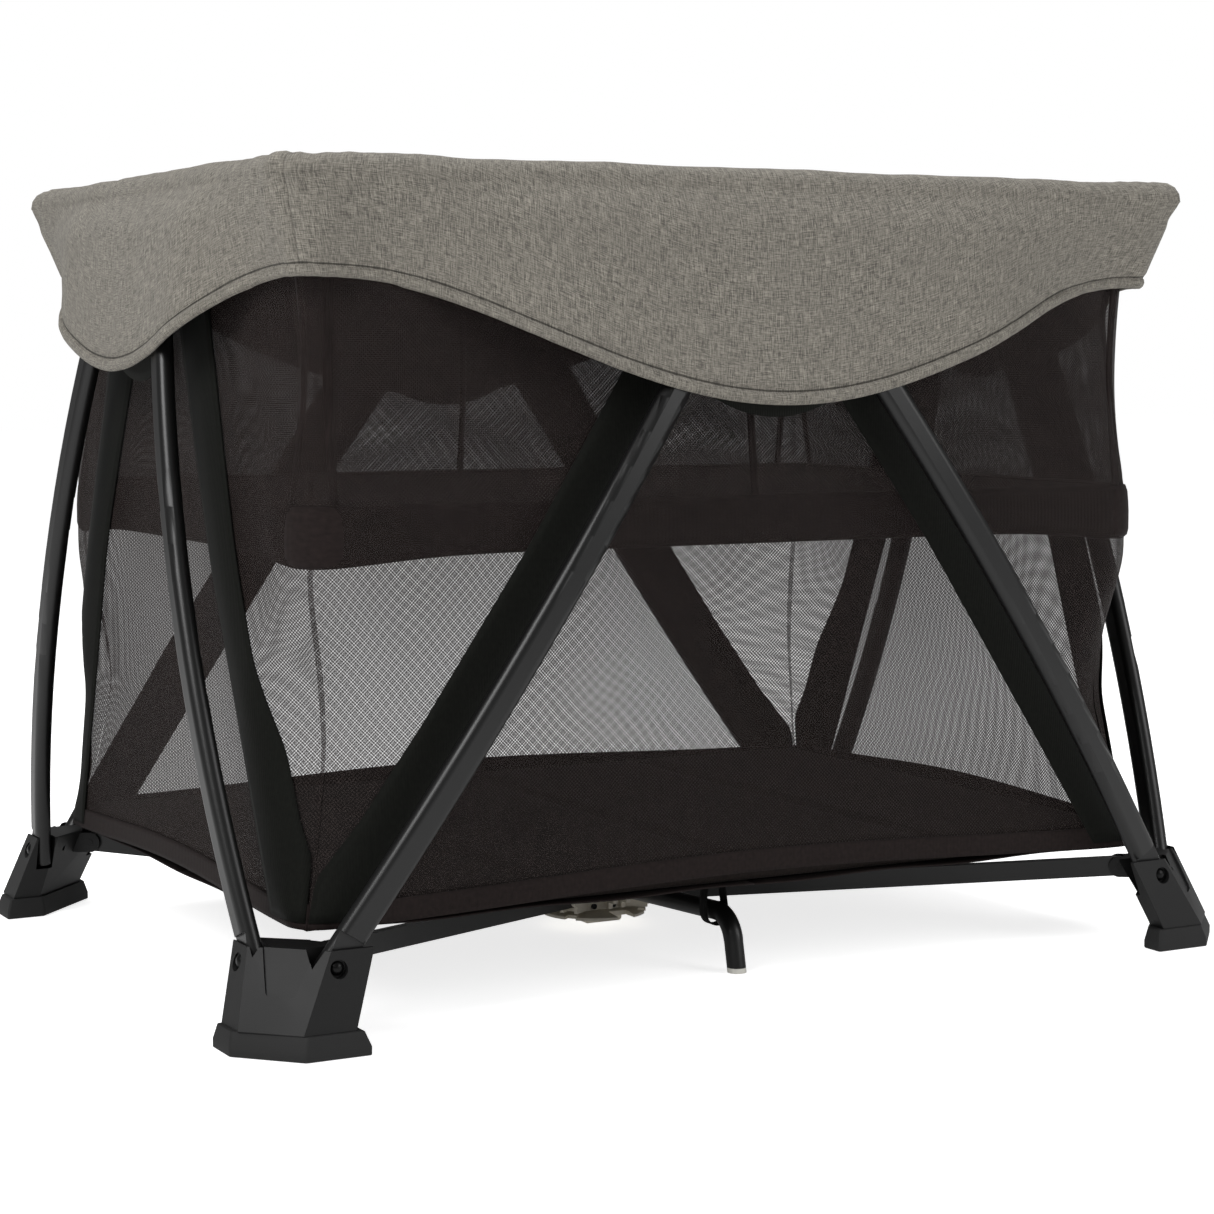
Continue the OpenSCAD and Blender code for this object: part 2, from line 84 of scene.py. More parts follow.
# adds a node; each input is a value or the output of another node
def addNode(material, kind, inputs=None, **settings):
    node = material.node_tree.nodes.new(kind)
    for key, value in settings.items():
        setattr(node, key, value)
    for key, value in (inputs or {}).items():
        if isinstance(value, bpy.types.NodeSocket):
            material.node_tree.links.new(value, node.inputs[key])
        else:
            node.inputs[key].default_value = value
    return node


def newMaterial(name):
    material = bpy.data.materials.new(name)
    material.use_nodes = True
    shader = material.node_tree.nodes["Principled BSDF"]
    return material, shader


def link(material, socket, target):
    material.node_tree.links.new(socket, target)


# pattern coordinates: the cut lengths of the cloth times the repeats per metre
def scaledUv(material, u, v):
    uv = addNode(material, "ShaderNodeUVMap", uv_map="cut")
    scaled = addNode(material, "ShaderNodeMapping", {"Scale": (u, v, 1), "Vector": uv.outputs["UV"]})
    return scaled.outputs["Vector"]


# moulded nylon or coated tube: flat colour with a fine grain in the gloss and the surface
def hardMaterial(name, colour, roughness, metallic=0.0, grain=900.0, bump=0.12, shine=0.4):
    material, shader = newMaterial(name)
    place = addNode(material, "ShaderNodeTexCoord").outputs["Object"]
    fine = addNode(material, "ShaderNodeTexNoise", {"Scale": grain, "Detail": 2.0, "Vector": place})
    wide = addNode(material, "ShaderNodeTexNoise", {"Scale": 9.0, "Detail": 3.0, "Vector": place})
    patches = addNode(material, "ShaderNodeMapRange",
                      {"From Min": 0.2, "From Max": 1.4, "Value": wide.outputs["Fac"]})
    lit = [c * 1.25 for c in linear(colour)[:3]] + [1]
    tone = addNode(material, "ShaderNodeMix", {0: patches.outputs["Result"], 6: linear(colour), 7: lit},
                   data_type="RGBA")
    link(material, tone.outputs[2], shader.inputs["Base Color"])
    rough = addNode(material, "ShaderNodeMapRange",
                    {"To Min": roughness - 0.05, "To Max": roughness + 0.08, "Value": wide.outputs["Fac"]})
    link(material, rough.outputs["Result"], shader.inputs["Roughness"])
    shader.inputs["Metallic"].default_value = metallic
    shader.inputs["Specular IOR Level"].default_value = shine
    surface = addNode(material, "ShaderNodeBump",
                      {"Strength": bump, "Distance": 0.0003, "Height": fine.outputs["Fac"]})
    link(material, surface.outputs["Normal"], shader.inputs["Normal"])
    return material


frameTube = {"colour": "0d0d0d", "roughness": 0.34, "grain": 1600.0}
footPlastic = {"colour": "0d0d0d", "roughness": 0.5, "sole": "151515", "soleRoughness": 0.7}
hubPlastic = {"colour": "d8d2c4", "core": "dcd7cb", "roughness": 0.55}
smallParts = {"pin": "0d0d0d", "cap": "dcdad2"}

# baked powder coat: a smooth satin black with a soft highlight along each tube
tubeCoat = hardMaterial("satin black powder coat", frameTube["colour"], frameTube["roughness"],
                        grain=frameTube["grain"], bump=0.06)
# textured mould: a duller black that breaks up the highlight
nylon = hardMaterial("black glass-filled nylon", footPlastic["colour"], footPlastic["roughness"],
                     bump=0.25, shine=0.28)
soleRubber = hardMaterial("black sole rubber", footPlastic["sole"], footPlastic["soleRoughness"], bump=0.3)
steelPin = hardMaterial("black oxide steel", smallParts["pin"], 0.3, metallic=0.6)
# fine mould finish: a warm light grey with a wide, weak highlight
beigeShell = hardMaterial("light grey ABS", hubPlastic["colour"], hubPlastic["roughness"])
beigeCore = hardMaterial("light grey ABS cap", hubPlastic["core"], 0.5)
whiteCap = hardMaterial("white polypropylene", smallParts["cap"], 0.5)

nodeMaterials = {
    "hub_housing": beigeShell, "hub_core": beigeCore, "hub_pins": steelPin, "floor_bar": tubeCoat,
    "support_leg": tubeCoat, "support_cap": whiteCap, "foot_sole": soleRubber, "foot_rivets": steelPin,
    "foot": nylon, "long_leg": tubeCoat, "short_leg": tubeCoat, "long_rail": tubeCoat,
    "short_rail": tubeCoat, "long_hub": nylon, "short_hub": nylon, "corner_cap": nylon,
}
for name, item in nodes.items():
    keys = [k for k in nodeMaterials if name.startswith(k)]
    if keys:
        item.data.materials.clear()
        item.data.materials.append(nodeMaterials[max(keys, key=len)])
print("frame materials made")


# a smooth curve through a few heights and offsets
def eased(xs, ys, width=0.06):
    fine = np.linspace(xs[0], xs[-1], 401)
    values = np.interp(fine, xs, ys)
    half = max(1, int(width * 400))
    kernel = np.hanning(2 * half + 1)
    before, after = 2 * values[0] - values[half:0:-1], 2 * values[-1] - values[-2:-half - 2:-1]
    padded = np.concatenate([before, values, after])
    smooth = np.convolve(padded, kernel / kernel.sum(), "valid")
    return lambda x: np.interp(x, fine, smooth)


# a sheet of four-sided faces from rows of points, with lengths in metres as its UV map
def gridObject(name, points, uvs, material, thickness=0.0, offset=-1.0, closed=False):
    rows, cols = points.shape[:2]
    verts = points.reshape(-1, 3)
    lastCol = cols if closed else cols - 1
    faces = []
    for i in range(rows - 1):
        for j in range(lastCol):
            ahead = (j + 1) % cols
            faces.append((i * cols + j, i * cols + ahead, (i + 1) * cols + ahead, (i + 1) * cols + j))
    data = bpy.data.meshes.new(name)
    data.from_pydata([tuple(v) for v in verts], [], faces)
    layer = data.uv_layers.new(name="cut")
    flat = uvs.reshape(-1, 2)
    corner = np.array([data.loops[k].vertex_index for k in range(len(data.loops))])
    picked = flat[corner].copy()
    if closed:
        loopFaces = np.repeat(np.arange(len(faces)), 4)
        wrap = (loopFaces % lastCol == lastCol - 1) & (corner % cols == 0)
        picked[wrap, 0] = flat[:, 0].max() * cols / (cols - 1)
    layer.data.foreach_set("uv", picked.astype(np.float32).ravel())
    data.shade_smooth()
    data.materials.append(material)
    item = bpy.data.objects.new(name, data)
    bpy.context.scene.collection.objects.link(item)
    if thickness:
        solid = item.modifiers.new("cloth thickness", "SOLIDIFY")
        solid.thickness = thickness
        solid.offset = offset
    return item


def applyModifiers(item):
    bpy.ops.object.select_all(action="DESELECT")
    item.select_set(True)
    bpy.context.view_layer.objects.active = item
    bpy.ops.object.convert(target="MESH")
    return item


def foldsWith(item, side):
    body, axis = sides[side][3], sides[side][4]
    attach(item, body)
    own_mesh(item)


# a point at length s from the middle of a side, with the side's end rounding the corner in plan
def onRing(side, s, z, out, radius, isWall):
    tangent, normal, isLong = sides[side][:3]
    halfLen = (wallX if isLong else wallY) if isWall else (railX if isLong else railY)
    dist = (wallY if isLong else wallX) if isWall else (railY if isLong else railX)
    halfLen, dist = halfLen + out, dist + out
    flat = halfLen - radius
    over = np.maximum(np.abs(s) - flat, 0)
    angle = over / radius
    along = np.sign(s) * (np.minimum(np.abs(s), flat) + radius * np.sin(angle))
    away = dist - radius * (1 - np.cos(angle))
    x = tangent[0] * along + normal[0] * away
    y = tangent[1] * along + normal[1] * away
    return np.stack(np.broadcast_arrays(x, y, z), axis=-1)


# padded cover: four panels over the rail, sewn at the corners, with a scalloped hem
# the darkest colour of the cover is painted shade along the stitched groove above the hem
cover = {"dark": "4b4843", "mid": "716d66", "light": "a09b90", "grooveShade": "24221f",
         "thickness": 0.0045, "wrinkle": 0.0030, "groove": 0.0112,
         "hemRadius": 0.0046, "hemRise": 0.0062, "hemCentre": 0.0040, "foldLong": 0.2, "foldShort": 0.24}
# each panel has its own creases and its own piece of the cloth pattern
seeds = {"front": 3.1, "back": 8.4, "left": 14.2, "right": 21.7}
clothShift = {"front": 0, "back": 2.3, "left": 4.1, "right": 5.7}


# grey melange polyester: dark and light slubs along both threads of a plain weave,
# so that the cloth looks a mottled mid grey; threads are drawn 0.6 to 1.1 mm apart,
# coarser than real ones, so that they show
def melangeFabric():
    material, shader = newMaterial("melange polyester weave")
    tones = []
    for u, v in ((900, 55), (60, 1100), (1500, 140), (150, 1700)):
        tex = addNode(material, "ShaderNodeTexNoise",
                      {"Scale": 1.0, "Detail": 2.0, "Roughness": 0.6, "Vector": scaledUv(material, u, v)})
        tones.append(tex.outputs["Fac"])
    coarse = addNode(material, "ShaderNodeMath", {0: tones[0], 1: tones[1]}, operation="ADD")
    fine = addNode(material, "ShaderNodeMath", {0: tones[2], 1: tones[3]}, operation="ADD")
    threads = addNode(material, "ShaderNodeMath", {0: coarse.outputs[0], 1: fine.outputs[0]}, operation="ADD")
    slubs = addNode(material, "ShaderNodeMapRange",
                    {"From Min": 1.75, "From Max": 2.35, "Value": threads.outputs[0]})
    mixed = addNode(material, "ShaderNodeMix", {0: slubs.outputs["Result"], 6: linear(cover["dark"]),
                                                7: linear(cover["light"])}, data_type="RGBA")
    plain = scaledUv(material, 1, 1)
    soft = addNode(material, "ShaderNodeTexNoise", {"Scale": 14.0, "Detail": 3.0, "Vector": plain})
    faded = addNode(material, "ShaderNodeMapRange",
                    {"From Min": 0.2, "From Max": 1.6, "Value": soft.outputs["Fac"]})
    tone = addNode(material, "ShaderNodeMix", {0: faded.outputs["Result"], 6: mixed.outputs[2],
                                               7: linear(cover["mid"])}, data_type="RGBA")
    # the stitched groove above the bound hem, darkened with painted shade: v runs up from the hem
    height = addNode(material, "ShaderNodeSeparateXYZ", {"Vector": plain}).outputs["Y"]
    groove = addNode(material, "ShaderNodeMath", {0: height, 1: cover["groove"], 2: 0.0009},
                     operation="COMPARE")
    paintedGrooveShade = addNode(material, "ShaderNodeMath", {0: groove.outputs[0], 1: 0.75}, operation="MULTIPLY")
    hemmed = addNode(material, "ShaderNodeMix", {0: paintedGrooveShade.outputs[0], 6: tone.outputs[2],
                                                 7: linear(cover["grooveShade"])}, data_type="RGBA")
    link(material, hemmed.outputs[2], shader.inputs["Base Color"])
    shader.inputs["Roughness"].default_value = 0.92
    shader.inputs["Specular IOR Level"].default_value = 0.2
    shader.inputs["Sheen Weight"].default_value = 0.08
    puckers = addNode(material, "ShaderNodeMath", {0: soft.outputs["Fac"], 1: 1.5}, operation="MULTIPLY")
    weave = addNode(material, "ShaderNodeMath", {0: threads.outputs[0], 1: puckers.outputs[0]},
                    operation="ADD")
    surface = addNode(material, "ShaderNodeBump",
                      {"Strength": 0.5, "Distance": 0.0006, "Height": weave.outputs[0]})
    link(material, surface.outputs["Normal"], shader.inputs["Normal"])
    return material


coverCloth = melangeFabric()
# how far the skirt stands off the rail line, against height: at a corner and at mid-side
skirtCorner = eased([0.690, 0.725, 0.760, 0.785], [-0.010, 0.004, 0.019, 0.024])
skirtLong = eased([0.575, 0.640, 0.700, 0.750, 0.764, 0.785],
                  [0.053, 0.0475, 0.0435, 0.0405, 0.036, 0.025], 0.04)
skirtShort = eased([0.605, 0.640, 0.700, 0.750, 0.764, 0.785],
                   [0.055, 0.0515, 0.048, 0.0450, 0.038, 0.025], 0.04)
# height of the hem at the corners and at the middle of each kind of side
hemCorner, hemLong, hemShort = 0.697, 0.580, 0.612
# offset from the rail line and height, over the top of the rail and down inside
topProfile = [(0.0250, 0.786), (0.0235, 0.794), (0.0190, 0.8005), (0.0120, 0.8045), (0.0, 0.8060),
              (-0.0110, 0.8045), (-0.0160, 0.7995), (-0.0180, 0.7920), (-0.0180, 0.7800), (-0.0175, 0.7690)]


def hemHeight(side, s):
    isLong = sides[side][2]
    half, low = (0.470, hemLong) if isLong else (0.330, hemShort)
    return hemCorner - (hemCorner - low) * np.cos(math.pi / 2 * np.minimum(1, np.abs(s) / half)) ** 2


def easeStep(x, a, b):
    t = np.clip((x - a) / (b - a), 0, 1)
    return t * t * (3 - 2 * t)


def coverRows(side, cols, skirtRows):
    isLong = sides[side][2]
    t = np.linspace(-1, 1, cols)
    t = np.sign(t) * (1 - (1 - np.abs(t)) ** 1.15)
    halfLen = railX if isLong else railY
    s0 = t * halfLen
    middle = 1 - easeStep(np.abs(s0), 0.20 if isLong else 0.13, 0.46 if isLong else 0.335)
    hem = hemHeight(side, s0)
    rows, uvRows = [], []
    for k in np.concatenate([np.linspace(0, 0.11, 13), np.linspace(0.14, 1, skirtRows)]):
        z = hem + (0.785 - hem) * k
        flare = (skirtLong if isLong else skirtShort)(np.maximum(z, 0.575))
        out = middle * flare + (1 - middle) * skirtCorner(np.maximum(z, 0.690))
        rows.append((out, z))
    for out, z in topProfile:
        rows.append((np.full(cols, out), np.full(cols, z)))
    points, previous = [], None
    run = np.zeros(cols)
    for out, z in rows:
        radius = np.clip(0.030 + out - 0.018 * easeStep(z, 0.765, 0.788), 0.006, 0.06)
        half = ((railX if isLong else railY) + out) - radius + radius * math.pi / 4
        place = onRing(side, t * half, z, out, radius, False)
        if previous is not None:
            run = run + np.linalg.norm(place - previous, axis=1)
        previous = place
        points.append(place)
        uvRows.append(np.stack([s0, run.copy()], axis=-1))
    return np.array(points), np.array(uvRows), t


def wrinkle(points, uvs, side, t, amount):
    rows, cols = points.shape[:2]
    seed = seeds[side]
    gradU = np.gradient(points, axis=1)
    gradV = np.gradient(points, axis=0)
    normals = np.cross(gradU, gradV)
    normals /= np.linalg.norm(normals, axis=2, keepdims=True) + 1e-12
    halfLen = railX if sides[side][2] else railY
    push = np.zeros((rows, cols))
    for i in range(rows):
        for j in range(cols):
            u, v = uvs[i, j]
            fromSeam = (1 - abs(t[j])) * halfLen
            low = noise.noise(Vector((u * 9, v * 7, seed)))
            mid = noise.noise(Vector((u * 26, v * 11, seed + 5)))
            gathers = noise.noise(Vector((fromSeam * 60 + v * 9, v * 6, seed + 9)))
            gathers *= math.exp(-fromSeam / 0.07)
            joined = 1 - math.exp(-(fromSeam / 0.006) ** 2)
            push[i, j] = amount * joined * (0.75 * low + 0.35 * mid + 1.1 * gathers)
            roll = math.exp(-(fromSeam / 0.0045) ** 2)
            push[i, j] -= 0.0013 * roll
    soften = np.ones(rows)
    soften[-3:] = 0.3
    push *= soften[:, None]
    # stitch line just above the bound hem
    line = np.exp(-((uvs[:, :, 1] - cover["groove"]) / 0.0024) ** 2)
    push -= 0.0016 * line
    return points + normals * push[..., None]


for side in sides:
    isLong = sides[side][2]
    points, uvs, t = coverRows(side, 181 if isLong else 141, 28)
    points = wrinkle(points, uvs, side, t, cover["wrinkle"])
    uvs[..., 0] += clothShift[side]
    item = gridObject("cover_" + side + "_fabric", points, uvs, coverCloth, cover["thickness"], -1.0)
    applyModifiers(item)
    foldsWith(item, side)
    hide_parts("cover_" + side)
    # bound hem: a rolled edge of the same cloth
    edge = points[0]
    outward = np.cross(np.gradient(points, axis=1)[0], np.gradient(points, axis=0)[0])
    outward /= np.linalg.norm(outward, axis=1, keepdims=True)
    up = points[1] - points[0]
    up /= np.linalg.norm(up, axis=1, keepdims=True)
    rolled, rolledUv = [], []
    ring = [(math.cos(a), math.sin(a)) for a in np.linspace(-math.pi / 2, 1.5 * math.pi, 11)[:-1]]
    for k, (c, q) in enumerate(ring):
        away = outward * (cover["hemRadius"] * c - cover["thickness"] / 2)
        rolled.append(edge + away + up * (cover["hemCentre"] + cover["hemRise"] * q))
        rolledUv.append(np.stack([uvs[0, :, 0], np.full(len(edge), 0.5 + 0.004 * k)], axis=-1))
    rolled.append(rolled[0])
    rolledUv.append(rolledUv[0] + np.array([0, 0.04]))
    hem = gridObject("cover_hem_" + side, np.array(rolled), np.array(rolledUv), coverCloth)
    foldsWith(hem, side)
print("cover made")

# mesh walls with their bands, bottom binding and the flap over each top hub
mesh = {"yarn": "2b2422", "shade": "1c1716", "pitchMm": 3.8, "open": 0.42, "contrast": 0.27,
        "stretch": 0.0011, "yarnDepth": 0.33}
band = {"colour": "0b0c09", "inner": 0.034, "outer": 0.040, "thickness": 0.0016}
darkCloth = {"colour": "1a1413", "thickness": 0.0014}


# warp-knit mesh: staggered soft-edged holes, 3.8 mm apart, let through by the alpha,
# so that what is behind shows as through a dark veil
def meshFabric(name, colour, openness):
    material, shader = newMaterial(name)
    plain = scaledUv(material, 1, 1)
    pulled = addNode(material, "ShaderNodeTexNoise", {"Scale": 9.0, "Detail": 1.0, "Vector": plain})
    centred = addNode(material, "ShaderNodeMath", {0: pulled.outputs["Fac"], 1: 0.5}, operation="SUBTRACT")
    drift = addNode(material, "ShaderNodeMath", {0: centred.outputs[0], 1: 4 * mesh["stretch"]},
                    operation="MULTIPLY")
    uv = addNode(material, "ShaderNodeSeparateXYZ", {"Vector": plain})
    cells = []
    for axis, operation in (("X", "ADD"), ("Y", "SUBTRACT")):
        drifted = addNode(material, "ShaderNodeMath", {0: uv.outputs[axis], 1: drift.outputs[0]},
                          operation=operation)
        cell = addNode(material, "ShaderNodeMath", {0: drifted.outputs[0], 1: 1000 / mesh["pitchMm"]},
                       operation="MULTIPLY")
        cells.append(cell.outputs[0])
    waves = []
    for operation in ("ADD", "SUBTRACT"):
        diagonal = addNode(material, "ShaderNodeMath", {0: cells[0], 1: cells[1]}, operation=operation)
        turns = addNode(material, "ShaderNodeMath", {0: diagonal.outputs[0], 1: 2 * math.pi},
                        operation="MULTIPLY")
        wave = addNode(material, "ShaderNodeMath", {0: turns.outputs[0]}, operation="COSINE")
        waves.append(wave.outputs[0])
    cloth = addNode(material, "ShaderNodeMath", {0: waves[0], 1: waves[1]}, operation="ADD")
    # the yarn has depth, so that a slanting look closes the holes
    slant = addNode(material, "ShaderNodeLayerWeight", {"Blend": 0.5}).outputs["Facing"]
    facing = addNode(material, "ShaderNodeMath", {0: slant, 1: -mesh["yarnDepth"], 2: openness},
                     operation="MULTIPLY_ADD")
    through = addNode(material, "ShaderNodeMath", {0: cloth.outputs[0], 1: mesh["contrast"] * 0.75,
                                                   2: facing.outputs[0]}, operation="MULTIPLY_ADD")
    holes = addNode(material, "ShaderNodeClamp", {"Min": 0.03, "Max": 0.9, "Value": through.outputs[0]})
    solid = addNode(material, "ShaderNodeMath", {0: 1.0, 1: holes.outputs["Result"]}, operation="SUBTRACT")
    link(material, solid.outputs[0], shader.inputs["Alpha"])
    shade = addNode(material, "ShaderNodeTexNoise", {"Scale": 60.0, "Detail": 2.0, "Vector": plain})
    yarn = addNode(material, "ShaderNodeMix", {0: shade.outputs["Fac"], 6: linear(colour),
                                               7: linear(mesh["shade"])}, data_type="RGBA")
    link(material, yarn.outputs[2], shader.inputs["Base Color"])
    shader.inputs["Roughness"].default_value = 0.75
    shader.inputs["Specular IOR Level"].default_value = 0.15
    return material


# close-knit polyester with a fine rib: a dull near-black with a faint sheen at its edges
def knitFabric(name, colour, sheen=0.15, ribMm=1.4):
    material, shader = newMaterial(name)
    repeats = scaledUv(material, 1000 / ribMm / 6.28, 1000 / ribMm / 25)
    ribs = addNode(material, "ShaderNodeTexWave", {"Scale": 1.0, "Distortion": 0.4, "Vector": repeats})
    plain = scaledUv(material, 1, 1)
    grain = addNode(material, "ShaderNodeTexNoise", {"Scale": 220.0, "Detail": 2.0, "Vector": plain})
    flecks = addNode(material, "ShaderNodeMapRange",
                     {"From Min": 0.3, "From Max": 0.8, "Value": grain.outputs["Fac"]})
    lit = [c * 1.7 for c in linear(colour)[:3]] + [1]
    lift = addNode(material, "ShaderNodeMix", {0: flecks.outputs["Result"], 6: linear(colour), 7: lit},
                   data_type="RGBA")
    link(material, lift.outputs[2], shader.inputs["Base Color"])
    shader.inputs["Roughness"].default_value = 0.8
    shader.inputs["Specular IOR Level"].default_value = 0.12
    shader.inputs["Sheen Weight"].default_value = sheen * 0.15
    height = addNode(material, "ShaderNodeMath", {0: ribs.outputs["Fac"], 1: grain.outputs["Fac"]},
                     operation="ADD")
    surface = addNode(material, "ShaderNodeBump",
                      {"Strength": 0.3, "Distance": 0.0003, "Height": height.outputs[0]})
    link(material, surface.outputs["Normal"], shader.inputs["Normal"])
    return material


wallCloth = meshFabric("warp-knit mesh", mesh["yarn"], mesh["open"])
bandCloth = knitFabric("black band fabric", band["colour"])
trayCloth = knitFabric("bassinet fabric", darkCloth["colour"], 0.2, 2.2)
# corner radius of the enclosure in plan, against height
cornerRadius = eased([0.095, 0.150, 0.261, 0.325, 0.409, 0.494, 0.580, 0.673, 0.740, 0.775],
                     [0.022, 0.085, 0.143, 0.121, 0.066, 0.071, 0.108, 0.128, 0.080, 0.022], 0.05)


# distance of a leg from the middle of its side at height z
def legLine(isLong, z):
    return (0.4723 - 0.6795 * (z - 0.076)) if isLong else (0.3241 - 0.3917 * (z - 0.076))


def wallPoint(side, s, z, lift=0.0):
    isLong = sides[side][2]
    radius = cornerRadius(z)
    line = legLine(isLong, z)
    rise = np.sin(np.pi * np.clip((z - 0.10) / 0.62, 0, 1))
    pull = 0.013 * rise * np.exp(-((np.abs(s) - line) / 0.05) ** 2)
    slack = -0.004 * np.sin(np.pi * np.clip((z - 0.13) / 0.28, 0, 1)) * np.exp(-(s / 0.25) ** 2)
    return onRing(side, s, z, pull + slack + lift - 0.001, radius, True)


def bottomEdge(isLong, s, half):
    mid = 0.013 if isLong else 0.010
    return 0.105 + mid * np.cos(np.pi / 2 * np.clip(np.abs(s) / half, 0, 1)) ** 2


for side in sides:
    isLong = sides[side][2]
    cols, rowsN = (161, 70) if isLong else (121, 70)
    # neighbouring walls lap over each other by a few millimetres at the corner seam
    lap = 1.0035 if isLong else 1.005
    t = np.linspace(-lap, lap, cols)
    points, uvs = [], []
    for k in np.linspace(0, 1, rowsN):
        half0 = wallX if isLong else wallY
        z = bottomEdge(isLong, t * half0, half0) * (1 - k) + 0.768 * k
        radius = cornerRadius(z)
        half = half0 - radius + radius * math.pi / 4
        s = t * half
        points.append(wallPoint(side, s, z))
        uvs.append(np.stack([s, z], axis=-1))
    points, uvs = np.array(points), np.array(uvs)
    wall = gridObject("wall_mesh_" + side, points, uvs, wallCloth)
    foldsWith(wall, side)
    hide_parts("mesh_wall_" + side)
    # bands behind the legs
    for sign in (-1, 1):
        zs = np.linspace(0.108, 0.735, 64)
        rows, uvRows = [], []
        for z in zs:
            line = float(legLine(isLong, z))
            grow = float(np.clip((z - 0.45) / 0.28, 0, 1))
            low = float(np.clip((0.2 - z) / 0.1, 0, 1))
            inner, outer = band["inner"] + 0.012 * grow, band["outer"] + 0.014 * grow + 0.012 * low
            if not isLong:
                inner, outer = inner * 0.9, outer * 0.9
            half = float((wallX if isLong else wallY) - cornerRadius(z) * (1 - math.pi / 4))
            a, b = max(line - inner, 0.0), min(line + outer, half)
            across = np.linspace(a, b, 9) * sign
            if sign < 0:
                across = across[::-1]
            rows.append(wallPoint(side, across, np.full(9, z), 0.0022))
            uvRows.append(np.stack([across, np.full(9, z)], axis=-1))
        strip = gridObject("band_" + side + ("_a" if sign < 0 else "_b"), np.array(rows), np.array(uvRows),
                           bandCloth, band["thickness"], 0.0)
        applyModifiers(strip)
        foldsWith(strip, side)
    # binding along the bottom edge
    rows, uvRows = [], []
    for k in np.linspace(0, 1, 6):
        half0 = wallX if isLong else wallY
        z = bottomEdge(isLong, t * half0, half0) - 0.003 + 0.022 * k
        radius = cornerRadius(z)
        s = t * (half0 - radius + radius * math.pi / 4)
        rows.append(wallPoint(side, s, z, 0.0012))
        uvRows.append(np.stack([s, z], axis=-1))
    binding = gridObject("wall_binding_" + side, np.array(rows), np.array(uvRows),
                         trayCloth, darkCloth["thickness"], 0.0)
    applyModifiers(binding)
    foldsWith(binding, side)
    # black flap between the legs, under the scalloped hem
    reach = 0.088 if isLong else 0.086
    low, high, away = (0.566, 0.690, 0.024) if isLong else (0.600, 0.690, 0.022)
    rows, uvRows = [], []
    across = np.linspace(-reach, reach, 25)
    for k in np.linspace(0, 1, 10):
        base = low + 0.030 * (np.abs(across) / reach) ** 2
        z = base + (high - base) * k
        rows.append(onRing(side, across, z, away, 0.03, False))
        uvRows.append(np.stack([across, z], axis=-1))
    flap = gridObject("hub_flap_" + side, np.array(rows), np.array(uvRows),
                      bandCloth, band["thickness"], 0.0)
    applyModifiers(flap)
    foldsWith(flap, side)
    width, height = 2 * (wallX if isLong else wallY), 0.66
print("walls made")

# sewn floor: one quarter on each floor bar
quarters = {"fl": (-1, -1), "fr": (1, -1), "bl": (-1, 1), "br": (1, 1)}
for name, (sx, sy) in quarters.items():
    xs = np.linspace(0.0, 0.480, 25) * sx
    ys = np.linspace(0.0, 0.340, 19) * sy
    if sx * sy < 0:
        xs = xs[::-1]
    gx, gy = np.meshgrid(xs, ys)
    gz = 0.1005 + 0.0012 * np.sin(gx * 31) * np.cos(gy * 27)
    item = gridObject("floor_fabric_" + name, np.stack([gx, gy, gz], axis=-1), np.stack([gx, gy], axis=-1),
                      trayCloth, 0.0016, 0.0)
    applyModifiers(item)
    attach(item, "bar_" + name)
    away = Vector((-0.336 * sy, 0.463 * sx, 0)).normalized()
    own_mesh(item)
    if name == "fl":
        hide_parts("floor_panel")
print("floor made")


# closed rings of a rounded rectangle; the profile is a list of (inset, height)
def slabRings(halfX, halfY, radius, profile, perSide=40):
    straightX, straightY = halfX - radius, halfY - radius
    outline = []
    corners = ((straightX, -straightY, -90), (straightX, straightY, 0),
               (-straightX, straightY, 90), (-straightX, -straightY, 180))
    for cx, cy, start in corners:
        for a in np.linspace(start, start + 90, 9):
            outline.append((cx, cy, math.cos(math.radians(a)), math.sin(math.radians(a))))
    dense = []
    for k, (cx, cy, c, q) in enumerate(outline):
        dense.append((cx, cy, c, q))
        nx = outline[(k + 1) % len(outline)]
        if (k + 1) % 9 == 0:
            for f in np.linspace(0, 1, perSide)[1:-1]:
                dense.append((cx + (nx[0] - cx) * f, cy + (nx[1] - cy) * f, c, q))
    rows = []
    for inset, z in profile:
        r = max(radius - inset, 0.0005)
        shrink = max(inset - radius, 0.0)
        row = []
        for cx, cy, c, q in dense:
            x = cx - math.copysign(min(shrink, abs(cx)), cx) + r * c
            y = cy - math.copysign(min(shrink, abs(cy)), cy) + r * q
            row.append((x, y, z))
        rows.append(row)
    return np.array(rows)


def ringUv(points):
    step = np.linalg.norm(np.diff(points[0], axis=0), axis=1)
    run = np.concatenate([[0], np.cumsum(step)])
    uv = np.zeros(points.shape[:2] + (2,))
    uv[..., 0] = run[None, :]
    rise = np.concatenate([[0], np.cumsum(np.linalg.norm(np.diff(points[:, 0], axis=0), axis=1))])
    uv[..., 1] = rise[:, None]
    return uv


def flatCap(name, halfX, halfY, height, material, cols=97, rows=69, shape=None, up=True):
    xs, ys = np.linspace(-halfX, halfX, cols), np.linspace(-halfY, halfY, rows)
    if not up:
        xs = xs[::-1]
    gx, gy = np.meshgrid(xs, ys)
    gz = np.full_like(gx, height) if shape is None else shape(gx, gy)
    return gridObject(name, np.stack([gx, gy, gz], axis=-1), np.stack([gx, gy], axis=-1), material)


def joinPieces(name, items):
    bpy.ops.object.select_all(action="DESELECT")
    for item in items:
        item.select_set(True)
    bpy.context.view_layer.objects.active = items[0]
    bpy.ops.object.join()
    joined = bpy.context.view_layer.objects.active
    joined.name = name
    joined.data.name = name
    return joined


# folding mattress: a slab with three creases across it
mattress = {"cloth": "1f1a18", "crease": 0.006, "folds": (-0.237, 0.0, 0.237)}
mattressCloth = knitFabric("mattress fabric", mattress["cloth"], 0.3, 1.8)


